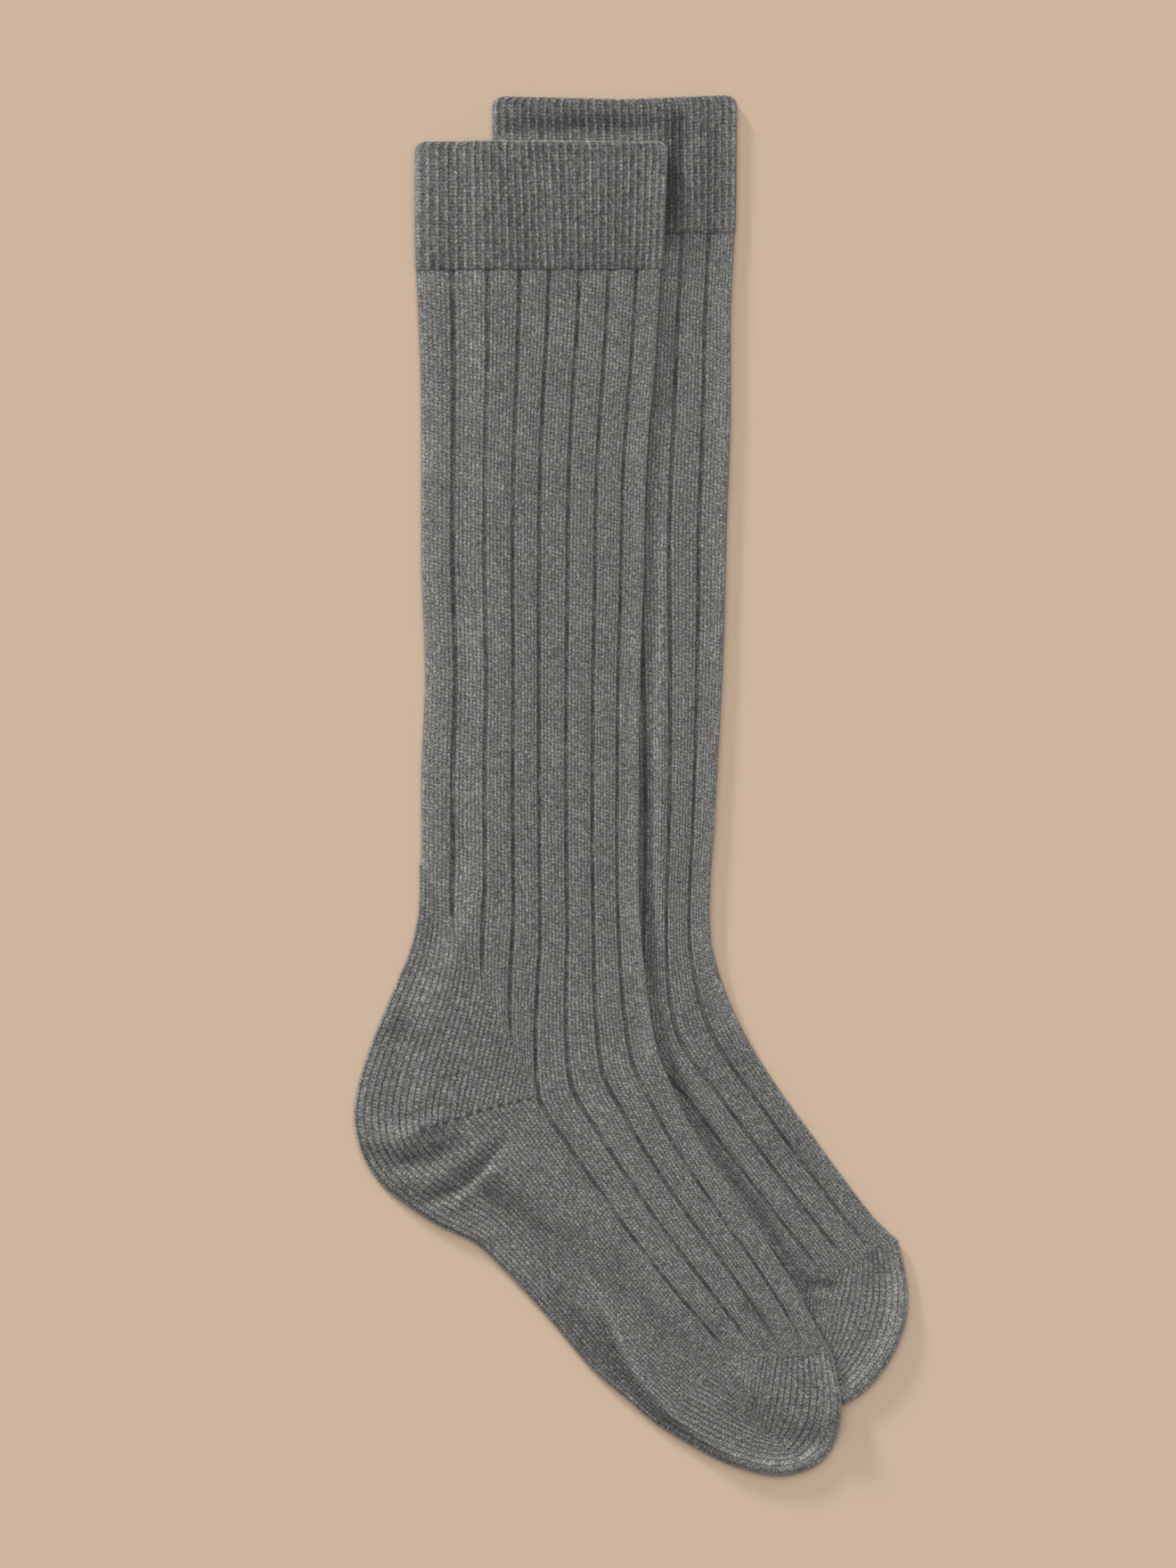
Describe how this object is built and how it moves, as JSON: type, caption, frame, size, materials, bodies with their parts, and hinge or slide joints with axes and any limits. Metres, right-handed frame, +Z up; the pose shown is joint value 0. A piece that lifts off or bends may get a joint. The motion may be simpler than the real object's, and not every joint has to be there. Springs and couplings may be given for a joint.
{
  "type": "pair of knee-high socks",
  "caption": "Fine-knit knee-high socks in grey marl, a pair laid flat with one partly over the other, with ribbed cuffs, broad-rib legs, and mitred heels and toes.",
  "frame": {"origin": "on the surface that the pair lies on, at the middle of its outline", "axes": "+Y along the legs, towards the cuffs; +X to the side that the toes point to; +Z up, off the surface"},
  "size_m": [0.2146, 0.535, 0.008],
  "materials": {
    "marl_knit": "matt fine-gauge knit of mid-grey marl yarn with a short nap"
  },
  "bodies": {
    "root": {"lower_sock_cuff": "marl_knit", "lower_sock_leg": "marl_knit", "lower_sock_heel": "marl_knit", "lower_sock_foot": "marl_knit", "lower_sock_toe": "marl_knit", "upper_sock_cuff": "marl_knit", "upper_sock_leg": "marl_knit", "upper_sock_heel": "marl_knit", "upper_sock_foot": "marl_knit", "upper_sock_toe": "marl_knit"}
  },
  "joints": []
}
